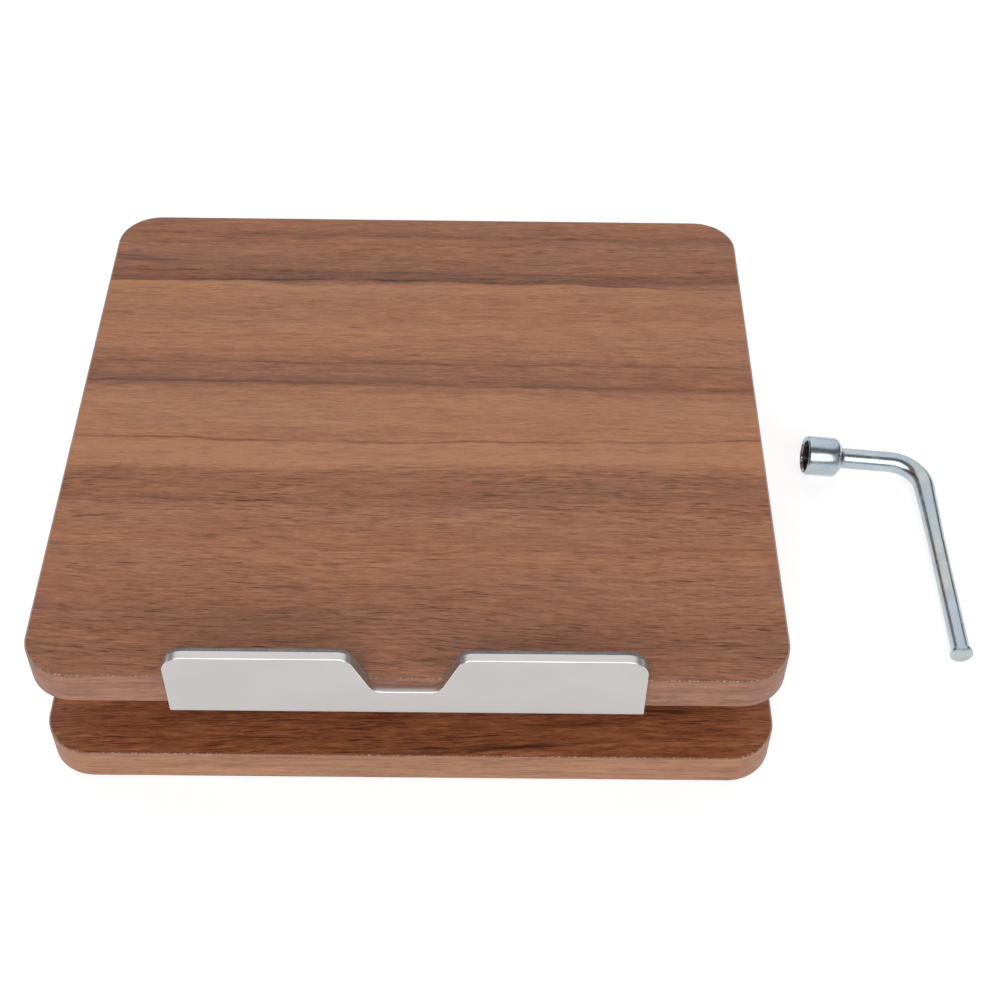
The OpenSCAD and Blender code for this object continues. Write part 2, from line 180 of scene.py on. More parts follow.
class Wire:
    # one socket of a material's nodes; sums on it add Math nodes
    def __init__(self, tree, socket=None):
        self.tree = tree
        self.socket = socket

    def node(self, kind, settings=None, inputs=None, out=0):
        made = self.tree.nodes.new("ShaderNode" + kind)
        for key, value in (settings or {}).items():
            if key == "stops":
                ramp = made.color_ramp
                while len(ramp.elements) > 1:
                    ramp.elements.remove(ramp.elements[-1])
                ramp.elements[0].position = value[0][0]
                for place, colour in value[1:]:
                    ramp.elements.new(place)
                for element, (place, colour) in zip(ramp.elements, value):
                    grey = isinstance(colour, (int, float))
                    element.color = ((colour,) * 3 if grey else tuple(colour)) + (1,)
            elif key == "between":
                made.color_ramp.interpolation = value
            else:
                setattr(made, key, value)
        for key, value in (inputs or {}).items():
            if isinstance(value, Wire):
                self.tree.links.new(value.socket, made.inputs[key])
            else:
                made.inputs[key].default_value = value
        return Wire(self.tree, made.outputs[out])

    def sum(self, operation, *values):
        return self.node("Math", {"operation": operation}, dict(enumerate(values)))

    def __add__(self, other): return self.sum("ADD", self, other)
    def __radd__(self, other): return self.sum("ADD", other, self)
    def __sub__(self, other): return self.sum("SUBTRACT", self, other)
    def __rsub__(self, other): return self.sum("SUBTRACT", other, self)
    def __mul__(self, other): return self.sum("MULTIPLY", self, other)
    def __rmul__(self, other): return self.sum("MULTIPLY", other, self)
    def __truediv__(self, other): return self.sum("DIVIDE", self, other)
    def __pow__(self, other): return self.sum("POWER", self, other)
    def __abs__(self): return self.sum("ABSOLUTE", self)
    def __gt__(self, other): return self.sum("GREATER_THAN", self, other)

    def rise(self, low, high):
        # 0 below low and 1 above high, with a soft slope between
        return self.node("MapRange", {"interpolation_type": "SMOOTHSTEP"},
                         {"Value": self, "From Min": low, "From Max": high, "To Min": 0, "To Max": 1})

    def point(self, x, y, z):
        return self.node("CombineXYZ", None, {0: x, 1: y, 2: z})

    def noise(self, x, y, z, detail=2, rough=0.5):
        return self.node("TexNoise", {"noise_dimensions": "3D"},
                         {"Vector": self.point(x, y, z), "Scale": 1, "Detail": detail, "Roughness": rough})

    def blend(self, colourA, colourB):
        # this wire is the share of the second colour
        return self.node("Mix", {"data_type": "RGBA"}, {0: self, 6: colourA, 7: colourB}, 2)

    def tinted(self, tint):
        # this wire is a colour, multiplied by another
        return self.node("Mix", {"data_type": "RGBA", "blend_type": "MULTIPLY"}, {0: 1.0, 6: self, 7: tint}, 2)

    def ramp(self, stops, between="LINEAR"):
        return self.node("ValToRGB", {"stops": stops, "between": between}, {0: self})

    def bump(self, distance, strength=1.0):
        return self.node("Bump", None, {"Height": self, "Distance": distance, "Strength": strength})


def startMaterial(name):
    # a new material, its shader, and the place on the piece in millimetres as three wires
    material = bpy.data.materials.new(name)
    material.use_nodes = True
    tree = material.node_tree
    shader = tree.nodes["Principled BSDF"]
    start = Wire(tree).node("TexCoord", out="Object")
    split = start.node("SeparateXYZ", None, {0: start})
    axes = [Wire(tree, split.socket.node.outputs[i]) * 1000 for i in range(3)]
    return material, shader, axes


def feed(shader, **sockets):
    # fills the shader's sockets by name, with a link or a plain value
    names = {"colour": "Base Color", "rough": "Roughness", "metal": "Metallic", "normal": "Normal",
             "specular": "Specular IOR Level"}
    for key, value in sockets.items():
        if isinstance(value, Wire):
            value.tree.links.new(value.socket, shader.inputs[names[key]])
        else:
            shader.inputs[names[key]].default_value = value


def srgb(red, green, blue):
    # a colour as it is read on a screen, made linear
    return [((c / 255 + 0.055) / 1.055) ** 2.4 if c > 10 else c / 255 / 12.92 for c in (red, green, blue)]


# walnut laminate

# from the darkest streak to the palest band, and the smoky patches
walnutColours = {
    "tray": {"streak": srgb(80, 48, 32), "dark": srgb(118, 75, 53), "middle": srgb(153, 100, 74),
             "pale": srgb(180, 125, 90), "smoke": srgb(108, 77, 63)},
    # the base's colours are the tray's made deeper and more saturated: painted shade and warm bounce light from
    # the tray above it
    "base": {"streak": srgb(58, 28, 17), "dark": srgb(103, 55, 33), "middle": srgb(146, 86, 56),
             "pale": srgb(186, 119, 80), "smoke": srgb(66, 38, 27)},
}

trayGrain = {
    "seed": 3.0,
    # how pale the wood is at places from front to back
    "bands": [(-131, 0.40), (-104, 0.38), (-94, 0.50), (-84, 0.58), (-70, 0.66), (-64, 0.56), (-53, 0.70),
              (-44, 0.48), (-34, 0.46), (-27.5, 0.58), (-22, 0.93), (-13, 0.90), (-8, 0.72), (-2, 0.80),
              (12, 0.82), (17, 0.62), (22, 0.36), (27, 0.50), (34, 0.52), (42, 0.74), (54, 0.80), (66, 0.68),
              (77, 0.76), (85.5, 0.90), (88, 0.34), (97, 0.44), (104, 0.44), (109, 0.60), (118, 0.40),
              (131, 0.56)],
    # thin dark lines: left, middle and right end, half width, depth, reach of the shade behind
    "lines": [(86.4, 87.6, 83.2, 0.55, 0.72, 9.0), (-9.6, -12.2, -9.4, 0.50, 0.60, 1.6),
              (34.5, 34.0, 33.0, 0.45, 0.36, 2.5), (41.0, 42.0, 41.5, 0.35, 0.14, 1.5),
              (-42.5, -47.0, -49.5, 0.45, 0.22, 3.5), (-68.0, -70.0, -67.5, 0.40, 0.24, 2.0),
              (94.0, 92.5, 91.0, 0.60, 0.34, 3.0), (120.5, 118.0, 115.0, 0.50, 0.22, 2.0),
              (113.0, 112.0, 109.0, 0.45, 0.20, 2.5), (22.5, 21.0, 19.5, 0.55, 0.34, 2.5),
              (52.0, 51.0, 50.0, 0.40, 0.16, 1.5), (-28.0, -30.0, -31.0, 0.40, 0.18, 2.0)],
    # smoky patches: x, y, half length, half width, depth
    "smoke": [(-128, 101, 74, 5.0, 0.60), (128, 117, 46, 3.4, 0.44), (-90, 22, 110, 3.6, 0.50),
              (40, 21, 100, 2.6, 0.28), (90, -38, 90, 8.0, 0.12), (108, -82, 26, 0.9, 0.40),
              (-30, 93, 120, 2.6, 0.24), (120, 88, 60, 3.5, 0.28), (-20, 118, 60, 2.2, 0.22)],
    # where short dark pores are thick: from, to, how thick
    "pores": [(-131, -66, 0.85), (-60, -25, 1.0), (18, 84, 0.35), (90, 131, 0.45)],
    "knot": (-78, -63.5, 7.0, 3.2, 0.22),
    "slant": 0.035,
}

baseGrain = {
    "seed": 41.0,
    "bands": [(-131, 0.56), (-122, 0.50), (-112, 0.36), (-104, 0.52), (-90, 0.66), (-70, 0.44), (-52, 0.72),
              (-30, 0.50), (-8, 0.62), (14, 0.84), (30, 0.46), (52, 0.66), (74, 0.40), (92, 0.72), (110, 0.52),
              (131, 0.60)],
    "lines": [(-24, -20, -26, 0.50, 0.50, 6.0), (61, 58, 62, 0.45, 0.45, 4.0),
              (103, 105, 101, 0.40, 0.30, 2.0)],
    "smoke": [(22, -128.5, 52, 1.7, 0.85), (-118, -127.5, 24, 2.2, 0.85), (52, -119, 46, 1.6, 0.40),
              (96, -113, 34, 2.4, 0.55), (-60, 30, 90, 4.0, 0.40), (70, 84, 70, 4.5, 0.40)],
    "pores": [(-131, -70, 0.75), (-20, 40, 0.5), (70, 131, 0.7)],
    "knot": (64, -62, 6.0, 2.8, 0.35),
    "slant": -0.025,
}

walnutSheen = {"roughness": 0.46, "grainHeight": 0.05}

# streaks by width: scale along the grain, scale across it, how much they change the tone
walnutStreaks = {"wide": (0.011, 0.16, 0.40), "middle": (0.045, 0.55, 0.80), "fine": (0.15, 1.25, 0.95),
                 "grit": (0.50, 2.3, 0.62)}


def walnutLaminate(name, grain, colours):
    material, shader, (x, y, z) = startMaterial(name)
    seed = grain["seed"]
    # the two faces of a board differ: the height carries the pattern on to another stretch of veneer
    far = z * 0.9
    drift = (x.noise(x * 0.010, y * 0.022, far + seed, 1) - 0.5) * 9
    ripple = (x.noise(x * 0.045, y * 0.16, far + seed + 7, 2) - 0.5) * 2.2
    across = y + drift + ripple + x * grain["slant"] * (1 - y.rise(-70, -15))
    front, back = grain["bands"][0][0], grain["bands"][-1][0]
    span = (across - front) / (back - front)
    tone = span.ramp([((place - front) / (back - front), level) for place, level in grain["bands"]], "EASE")

    # streaks of four widths, from broad ones to single fibres
    streak = {}
    for i, (width, (along, over, share)) in enumerate(walnutStreaks.items()):
        streak[width] = x.noise(x * along, across * over, far + seed + 2 + 2 * i, 2) - 0.5
        tone = tone + streak[width] * share

    # dark pores lying along the grain, long ones and short ones
    thick = None
    for low, high, share in grain["pores"]:
        part = across.rise(low - 4, low + 4) * (1 - across.rise(high - 4, high + 4)) * share
        thick = part if thick is None else thick + part
    patch = x.noise(x * 0.025, across * 0.12, far + seed + 10, 2).rise(0.38, 0.62)
    longPore = x.noise(x * 0.052, across * 2.1, far + seed + 12, 1).rise(0.58, 0.67)
    shortPore = x.noise(x * 0.12 + across * 0.05, across * 2.5, far + seed + 13, 1).rise(0.58, 0.67)
    pore = (longPore * 0.6 + shortPore * 0.8) * (0.28 + thick * (0.35 + 0.65 * patch))
    tone = tone - pore * 0.62

    # thin dark lines, with a shade that fades behind them
    across2 = x / 140
    shade = None
    for left, mid, right, half, depth, reach in grain["lines"]:
        path = mid + across2 * ((right - left) / 2) + across2 * across2 * ((right + left) / 2 - mid)
        offset = y + ripple * 0.7 + (x.noise(x * 0.03, seed + left, 0.0, 2) - 0.5) * 3.4 - path
        broken = 0.55 + 0.45 * x.noise(x * 0.05, seed - left, 3.0, 1).rise(0.35, 0.6)
        line = (1 - abs(offset).rise(half * 0.4, half * 2.1)) * broken * depth
        behind = (offset > 0) * (1 - offset.rise(0, reach)) * (depth * 0.42)
        mark = line.sum("MAXIMUM", line, behind)
        shade = mark if shade is None else shade + mark
    tone = tone - shade

    # smoky patches
    smoke = None
    streaky = x.noise(x * 0.018, across * 0.75, far + seed + 14, 3, 0.6)
    for cx, cy, halfX, halfY, depth in grain["smoke"]:
        reach = (((x - cx) / halfX) ** 2 + ((across - cy) / halfY) ** 2) ** 0.5
        patchMark = (1 - reach.rise(0.15, 1.15)) * depth
        smoke = patchMark if smoke is None else smoke + patchMark
    smoke = smoke * (0.25 + 1.25 * streaky.rise(0.36, 0.62))

    # one small knot with rings round it
    cx, cy, halfX, halfY, depth = grain["knot"]
    knotReach = (((x - cx) / halfX) ** 2 + ((y + ripple - cy) / halfY) ** 2) ** 0.5
    rings = (knotReach * 9).sum("SINE", knotReach * 9) * 0.5 + 0.5
    knot = (1 - knotReach.rise(0.2, 1.0)) * (0.45 + 0.55 * rings) * depth
    tone = tone - knot

    level = (tone + 0.45) / 1.45
    colour = level.ramp([(0.0, colours["streak"]), (0.31, colours["dark"]), (0.64, colours["middle"]),
                         (1.0, colours["pale"])])
    colour = (smoke.sum("MINIMUM", smoke, 0.9) * 0.85).blend(colour, colours["smoke"] + [1])
    darker = smoke.rise(0.35, 0.9) * 0.55
    colour = darker.blend(colour, colours["streak"] + [1])
    # redder and yellower stretches
    hue = x.noise(x * 0.008, across * 0.05, far + seed + 16, 2).rise(0.35, 0.65)
    tint = hue.blend([1.03, 0.985, 0.955, 1], [0.985, 1.01, 1.03, 1])
    colour = colour.tinted(tint)

    rough = walnutSheen["roughness"] + pore * 0.16 + (streak["fine"] + streak["middle"]) * 0.10
    height = 0.5 + streak["grit"] * 0.25 + streak["fine"] * 0.35 - pore * 0.9
    feed(shader, colour=colour, rough=rough, specular=0.30,
         normal=height.bump(walnutSheen["grainHeight"] * mm, 0.8))
    return material


bandLook = {
    "tray": {"dark": srgb(106, 68, 50), "middle": srgb(138, 93, 72), "pale": srgb(156, 110, 85)},
    # one banding in two colours: the base's strip is painted paler and yellower for the floor's light on the
    # lower board's edge, and the tray's strip darker
    "base": {"dark": srgb(116, 76, 54), "middle": srgb(150, 103, 75), "pale": srgb(168, 119, 88)},
    "roughness": 0.5,
}


def walnutBanding(name, seed, colours):
    # the strip glued round a board's edge: its grain runs along the strip
    material, shader, (x, y, z) = startMaterial(name)
    broad = x.noise(x * 0.018, y * 0.018, z * 0.33 + seed, 2) - 0.5
    fine = x.noise(x * 0.070, y * 0.070, z * 1.1 + seed + 5, 3) - 0.5
    grit = x.noise(x * 0.35, y * 0.35, z * 2.0 + seed + 7, 2) - 0.5
    pore = x.noise(x * 0.16, y * 0.16, z * 2.4 + seed + 9, 2).rise(0.58, 0.70)
    level = 0.62 + broad * 1.1 + fine * 1.5 + grit * 0.8 - pore * 0.40
    colour = level.ramp([(0.0, colours["dark"]), (0.55, colours["middle"]), (1.0, colours["pale"])])
    feed(shader, colour=colour, rough=bandLook["roughness"] + pore * 0.15, specular=0.4,
         normal=(fine * 0.5 - pore).bump(0.03 * mm, 0.7))
    return material


def bandingLine(name, seed):
    # the thin rim where laminate and strip meet: a dark glue line with pale chips
    material, shader, (x, y, z) = startMaterial(name)
    chip = x.noise(x * 0.8, y * 0.8, seed, 3, 0.6)
    stretch = x.noise(x * 0.02, y * 0.02, seed + 3, 2).rise(0.40, 0.62)
    pale = chip.rise(0.50, 0.64) * (0.30 + 0.70 * stretch)
    base = chip.ramp([(0.3, srgb(108, 84, 72)), (0.7, srgb(142, 112, 98))])
    # along the two short sides the glue shows as an even grey line
    side = abs(x).rise(132, 138)
    base = side.blend(base, srgb(160, 142, 134) + [1])
    colour = (pale * (1 - side * 0.7)).blend(base, srgb(206, 184, 166) + [1])
    feed(shader, colour=colour, rough=0.55 + pale * 0.15, specular=0.35,
         normal=chip.bump(0.08 * mm, 0.8))
    return material


# metals, nylon and rubber

def satinAluminium(name, colour, roughness, grainHeight):
    # blasted and anodised: an even silver with the finest grain
    material, shader, (x, y, z) = startMaterial(name)
    grain = x.noise(x * 3.2, y * 3.2, z * 3.2, 3, 0.6)
    cloud = x.noise(x * 0.03, y * 0.03, z * 0.05, 2)
    tone = (grain * 0.35 + cloud * 0.65).rise(0.30, 0.70)
    shadeA = [c * 0.965 for c in colour] + [1]
    shadeB = [min(1, c * 1.03) for c in colour] + [1]
    feed(shader, colour=tone.blend(shadeA, shadeB), metal=1.0, rough=roughness + (grain - 0.5) * 0.10,
         normal=grain.bump(grainHeight * mm, 0.5))
    return material


def zincPlate(name, roughness, colour):
    # bright zinc: cool silver, slightly uneven, with fine drawn lines and dull spots
    material, shader, (x, y, z) = startMaterial(name)
    cloud = x.noise(x * 0.10, y * 0.10, z * 0.10, 3)
    grain = x.noise(x * 1.6, y * 1.6, z * 1.6, 3, 0.6)
    dull = x.noise(x * 0.30, y * 0.22, z * 0.30, 4, 0.6).rise(0.52, 0.68)
    tone = (cloud * 0.6 + grain * 0.4).rise(0.34, 0.66)
    hue = x.noise(x * 0.045, y * 0.045, z * 0.16, 2).rise(0.40, 0.62)
    shadeA = [c * 0.88 for c in colour] + [1]
    shadeB = [min(1, c * 1.06) for c in colour] + [1]
    blue, straw = [0.93, 1.0, 1.05, 1], [1.05, 1.02, 0.95, 1]
    feed(shader, colour=tone.blend(shadeA, shadeB).tinted(hue.blend(blue, straw)), metal=1.0,
         rough=roughness + dull * 0.12 + (grain - 0.5) * 0.10,
         normal=(grain + dull * 0.6).bump(0.035 * mm, 0.5))
    return material


def rolledSteel(name, colour, roughness, along):
    # sheet steel under a satin plating, with faint rolling lines along one axis
    material, shader, (x, y, z) = startMaterial(name)
    stretch = {"x": (0.05, 3.0, 3.0), "y": (3.0, 0.05, 3.0), "none": (0.9, 0.9, 0.9)}[along]
    lines = x.noise(x * stretch[0], y * stretch[1], z * stretch[2], 3, 0.6)
    cloud = x.noise(x * 0.06, y * 0.06, z * 0.06, 3)
    rub = x.noise(x * 0.35, y * 0.35, z * 0.35, 4, 0.65).rise(0.55, 0.70)
    tone = (lines * 0.5 + cloud * 0.5).rise(0.32, 0.68)
    shadeA = [c * 0.84 for c in colour] + [1]
    shadeB = [min(1, c * 1.08) for c in colour] + [1]
    feed(shader, colour=tone.blend(shadeA, shadeB), metal=1.0,
         rough=roughness + rub * 0.10 + (lines - 0.5) * 0.16, normal=lines.bump(0.03 * mm, 0.5))
    return material


def paleNylon(name, colour):
    material, shader, (x, y, z) = startMaterial(name)
    cloud = x.noise(x * 0.4, y * 0.4, z * 0.4, 3)
    tone = cloud.rise(0.3, 0.7).blend([c * 0.92 for c in colour] + [1], colour + [1])
    feed(shader, colour=tone, rough=0.42 + cloud * 0.12, specular=0.5,
         normal=cloud.bump(0.05 * mm, 0.4))
    return material


def mattRubber(name):
    material, shader, (x, y, z) = startMaterial(name)
    grain = x.noise(x * 2.4, y * 2.4, z * 2.4, 4, 0.6)
    dust = x.noise(x * 0.25, y * 0.25, z * 0.25, 3).rise(0.48, 0.66)
    colour = (dust * 0.5 + grain * 0.3).blend(srgb(30, 30, 31) + [1], srgb(58, 57, 56) + [1])
    feed(shader, colour=colour, rough=0.72 + dust * 0.12, specular=0.35, normal=grain.bump(0.06 * mm, 0.6))
    return material


def darkFoam(name):
    # closed-cell foam: a dull grey with tiny pits
    material, shader, (x, y, z) = startMaterial(name)
    pits = x.noise(x * 2.6, y * 2.6, z * 2.6, 4, 0.65)
    cloud = x.noise(x * 0.12, y * 0.12, z * 0.12, 2)
    level = (pits * 0.7 + cloud * 0.3).rise(0.32, 0.66)
    colour = level.blend(srgb(92, 88, 90) + [1], srgb(140, 133, 132) + [1])
    feed(shader, colour=colour, rough=0.86 + pits * 0.08, specular=0.2, normal=pits.bump(0.15 * mm, 0.8))
    return material


walnutTray = walnutLaminate("walnutTray", trayGrain, walnutColours["tray"])
# the base board's laminate carries painted shade in its colours
walnutBase = walnutLaminate("walnutBase", baseGrain, walnutColours["base"])
bandTray = walnutBanding("walnutBandingTray", 2.0, bandLook["tray"])
# the base's strip carries painted light in its paler colours
bandBasePaintedLight = walnutBanding("walnutBandingBasePaintedLight", 19.0, bandLook["base"])
rimTray = bandingLine("bandingLineTray", 5.0)
rimBase = bandingLine("bandingLineBase", 23.0)
plateSatin = satinAluminium("satinAluminium", [0.545, 0.522, 0.514], 0.40, 0.02)
plateCut = satinAluminium("milledAluminium", [0.635, 0.612, 0.603], 0.36, 0.012)
plateBright = satinAluminium("chamferAluminium", [0.97, 0.955, 0.95], 0.20, 0.006)
zincBright = zincPlate("zincPlateWrench", 0.24, [0.475, 0.52, 0.56])
# a near-black zinc for the inside of the socket: painted shade in its hollow
zincPaintedShade = zincPlate("zincSocketInsidePaintedShade", 0.5, [0.10, 0.105, 0.11])
zincHardware = zincPlate("zincPlateHardware", 0.26, [0.72, 0.74, 0.76])
armSteel = rolledSteel("satinSteelArm", [0.60, 0.60, 0.60], 0.36, "y")
bracketSteel = rolledSteel("satinSteelBracket", [0.56, 0.56, 0.565], 0.38, "none")
tubeSteel = rolledSteel("satinSteelTube", [0.60, 0.60, 0.60], 0.34, "x")
springSteel = rolledSteel("springSteel", [0.40, 0.40, 0.41], 0.34, "none")
nylonWhite = paleNylon("paleNylon", srgb(226, 222, 208))
footRubber = mattRubber("mattRubber")
padFoam = darkFoam("darkFoam")
print("materials made")


# boards

boardLook = {"cornerRadius": 18, "easedEdge": 0.3, "bandThickness": 0.3, "cornerSegments": 20}


def board(name, nodeName, body, laminate, rim, band):
    low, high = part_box(nodeName)
    bm = bmesh.new()
    bmesh.ops.create_cube(bm, size=1)
    bmesh.ops.scale(bm, vec=high - low, verts=bm.verts)
    bmesh.ops.translate(bm, vec=(low + high) / 2, verts=bm.verts)
    upright = [e for e in bm.edges if abs(e.verts[0].co.z - e.verts[1].co.z) > 1e-4]
    roundEdges(bm, upright, boardLook["cornerRadius"] * mm, boardLook["cornerSegments"])
    roundEdges(bm, sharpEdges(bm, 60), boardLook["easedEdge"] * mm, 3)
    bm.faces.ensure_lookup_table()
    for face in bm.faces:
        face.material_index = 2
    flat = [f for f in bm.faces if abs(f.normal.z) > 0.99 and f.calc_area() > 0.01]
    made = bmesh.ops.inset_individual(bm, faces=flat, thickness=boardLook["bandThickness"] * mm,
                                      use_even_offset=True)
    for face in made["faces"]:
        face.material_index = 1
    for face in flat:
        face.material_index = 0
    # the eased edge next to the rim belongs to it as well
    for face in bm.faces:
        if face.material_index == 2 and abs(face.normal.z) > 0.8:
            face.material_index = 1
    closeUp(bm)
    piece = linkMesh(name, bm, [laminate, rim, band])
    return stand(piece, body, "walnut_laminate", nodeName)


board("trayBoard", "tray_board", "tray", walnutTray, rimTray, bandTray)
board("baseBoard", "base_board", "base", walnutBase, rimBase, bandBasePaintedLight)
print("boards made")


# stop plate

plateShape = {
    "sheet": 3.4, "cornerRadius": 8,
    "notchFloor": 24, "notchDepth": 19.1, "notchLean": 23.5, "notchRadius": 5.5,
    "insideBend": 0.6, "chamfer": 0.7, "screwInset": 14, "screwShare": 0.6, "screwRadius": 2, "headRadius": 4,
}


def stopPlate():
    low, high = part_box("stop_plate")
    sheet = plateShape["sheet"] * mm
    bend = plateShape["insideBend"] * mm
    width, depth, height = high.x - low.x, high.y - low.y, high.z - low.z
    # the bent sheet, drawn from its end and pushed along its length
    bm = bmesh.new()
    section = [(0, 0, sheet + bend), (depth, 0, 0), (depth, sheet, 0), (sheet, sheet, bend), (sheet, height, 0),
               (0, height, 0)]
    faces = flatOutline(bm, section, lambda a, b: Vector((low.x, low.y + a, low.z + b)))
    pushOut(bm, faces, Vector((width, 0, 0)))
    plate = linkMesh("plateBlank", bm, [])
    # what the front view keeps: rounded shoulders and the notch
    radius, notch = plateShape["cornerRadius"] * mm, plateShape["notchRadius"] * mm
    floorHalf = plateShape["notchFloor"] / 2 * mm
    fall = plateShape["notchDepth"] * mm
    topHalf = floorHalf + fall * math.tan(math.radians(plateShape["notchLean"]))
    half, spare = width / 2, 2 * mm
    straightTop = height - radius * 1.6  # below this the sides stay as they are
    outline = [(-half - spare, -spare, 0), (half + spare, -spare, 0), (half + spare, straightTop, 0),
               (half, straightTop, 0), (half, height, radius), (topHalf, height, notch),
               (floorHalf, height - fall, notch), (-floorHalf, height - fall, notch), (-topHalf, height, notch),
               (-half, height, radius), (-half, straightTop, 0), (-half - spare, straightTop, 0)]
    bm = bmesh.new()
    faces = flatOutline(bm, outline, lambda a, b: Vector((a, low.y - 5 * mm, low.z + b)))
    pushOut(bm, faces, Vector((0, depth + 10 * mm, 0)))
    keeper = linkMesh("plateKeeper", bm, [])
    carve(plate, [(keeper, "INTERSECT")])
    # countersunk screw holes from below, a little wider than the screws
    cutters = []
    play, below = 0.05 * mm, 0.5 * mm
    head, shank = plateShape["headRadius"] * mm, plateShape["screwRadius"] * mm
    for x in (-half + plateShape["screwInset"] * mm, 0, half - plateShape["screwInset"] * mm):
        place = Matrix.Translation((x, low.y + sheet + plateShape["screwShare"] * depth, low.z))
        for radius1, radius2, length, rise in (
                (head + below + play, shank + play, head - shank + below, (head - shank - below) / 2),
                (shank + play, shank + play, 8 * mm, 1.2 * mm)):
            bm = bmesh.new()
            bmesh.ops.create_cone(bm, cap_ends=True, segments=40, radius1=radius1, radius2=radius2,
                                  depth=length, matrix=place @ Matrix.Translation((0, 0, rise)))
            cutters.append((linkMesh("screwCutter", bm, []), "DIFFERENCE"))
    carve(plate, cutters)
    bm = reopen(plate)
    # the milled edges of the sheet are paler than its faces, and the chamfers paler still
    for face in bm.faces:
        face.material_index = 2 if face.normal.z > 0.3 or abs(face.normal.x) > 0.5 else 0
    made = roundEdges(bm, sharpEdges(bm), plateShape["chamfer"] * mm, 1)
    for face in made["faces"]:
        face.material_index = 1
    closeUp(bm)
    return linkMesh("stopPlate", bm, [plateSatin, plateBright, plateCut])


stand(stopPlate(), "tray", "satin_aluminium", "stop_plate")
stand(easedCopy("lipPads", "lip_pads", 0.35 * mm, [padFoam]), "tray", "pad_foam", "lip_pads")
print("stop plate and pads made")


# wrench

wrenchShape = {
    "rod": 4.6, "handle": 3.8, "bend": 14, "handleLength": 108.5, "armLength": 53, "socketLength": 16,
    "wall": 1.1, "bore": 13.3, "boreDepth": 12, "shoulder": 3, "endRadius": 4.65,
}


def socketWrench():
    shape = {key: value * mm for key, value in wrenchShape.items()}
    low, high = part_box("socket_wrench")
    boreRadius = shape["bore"] / 2 / math.cos(math.radians(30))
    socketRadius = boreRadius + shape["wall"]
    reach = shape["armLength"] - shape["socketLength"] + shape["shoulder"]
    lean = math.atan(socketRadius / reach) - math.asin(shape["endRadius"] / math.hypot(reach, socketRadius))
    bm = bmesh.new()
    # the handle's end: a low dome, a flared head, then the neck
    towards = Vector((0, 1, 0))
    start = (Matrix.Translation((0, 0.05 * mm - shape["handleLength"], 0))
             @ Matrix.Rotation(math.radians(90), 4, "X"))
    bmesh.ops.create_circle(bm, cap_ends=True, segments=48, radius=1.2 * mm, matrix=start)
    end, handle, rod = shape["endRadius"], shape["handle"], shape["rod"]
    head = [(0.1 * mm, 2.64 * mm), (0.3 * mm, 3.828 * mm), (0.55 * mm, end), (1.3 * mm, end),
            (0.55 * mm, handle + 0.15 * mm), (0.7 * mm, handle)]
    ring = growTube(bm, bm.edges[:], towards, 1.2 * mm, head)
    straight = shape["handleLength"] - shape["bend"] - sum(distance for distance, radius in head)
    taper = straight / 3
    ring = growTube(bm, ring, towards, handle, [(straight - taper, handle), (taper / 2, handle + 0.35 * mm),
                                                (taper / 2, rod)])
    made = bmesh.ops.spin(bm, geom=ring + ringPoints(ring), cent=(-shape["bend"], -shape["bend"], 0),
                          axis=(0, 0, 1), angle=math.radians(90), steps=20, use_duplicate=False)
    ring = [e for e in made["geom_last"] if isinstance(e, bmesh.types.BMEdge)]
    # the socket arm, its shoulder and the socket
    outwards = Vector((-1, 0, 0))
    arm = shape["armLength"] - shape["bend"] - shape["socketLength"]
    neck = rod + 0.9 * mm
    flare = socketRadius - neck
    ring = growTube(bm, ring, outwards, rod, [(arm - 1.2 * mm, rod), (1.2 * mm, neck),
                                              (0.8 * mm, neck + flare * 0.42), (1.2 * mm, neck + flare * 0.86),
                                              (1.0 * mm, socketRadius)])
    body = shape["socketLength"] - shape["shoulder"]
    ring = growTube(bm, ring, outwards, socketRadius, [(body - 1.0 * mm, socketRadius),
                                                       (0.55 * mm, socketRadius - 0.2 * mm),
                                                       (0.45 * mm, socketRadius - 0.65 * mm)])
    # the mouth: a lead-in, then the hexagon
    ring = growTube(bm, ring, outwards, socketRadius - 0.65 * mm, [(0.0, boreRadius + 0.15 * mm)])
    mouth, leadIn = -shape["armLength"], 0.9 * mm
    hexagon = bmesh.ops.create_circle(bm, cap_ends=False, segments=6, radius=boreRadius,
                                      matrix=Matrix.Translation((mouth + leadIn, 0, 0))
                                      @ Matrix.Rotation(math.radians(90), 4, "Y"))
    hexEdges = list({e for v in hexagon["verts"] for e in v.link_edges})
    split = bmesh.ops.subdivide_edges(bm, edges=hexEdges, cuts=7)
    hexEdges = list({e for e in split["geom_inner"] + split["geom"]
                     if isinstance(e, bmesh.types.BMEdge) and not e.link_faces})
    bmesh.ops.bridge_loops(bm, edges=ring + hexEdges)
    inner = growTube(bm, hexEdges, -outwards, boreRadius, [(shape["boreDepth"] - leadIn, boreRadius),
                                                           (1.5 * mm, boreRadius * 0.35)])
    bmesh.ops.contextual_create(bm, geom=inner)
    closeUp(bm)
    # faces inside the bore take the near-black zinc: painted shade in the socket's hollow
    for face in bm.faces:
        centre = face.calc_center_median()
        insideLength = mouth + 1.1 * mm < centre.x < mouth + 15 * mm
        if insideLength and math.hypot(centre.y, centre.z) < boreRadius * 0.98:
            face.material_index = 1
    # lean it as it lies on the desk and take it to its place
    bmesh.ops.rotate(bm, cent=(0, 0, 0), matrix=Matrix.Rotation(lean, 3, "Y"), verts=bm.verts)
    corner = Vector((high.x - shape["endRadius"], high.y - socketRadius, shape["endRadius"]))
    bmesh.ops.translate(bm, vec=corner, verts=bm.verts)
    return linkMesh("socketWrench", bm, [zincBright, zincPaintedShade])


stand(socketWrench(), "wrench", "zinc_plated_steel", "socket_wrench")
print("wrench made")


# arms, brackets and the tube

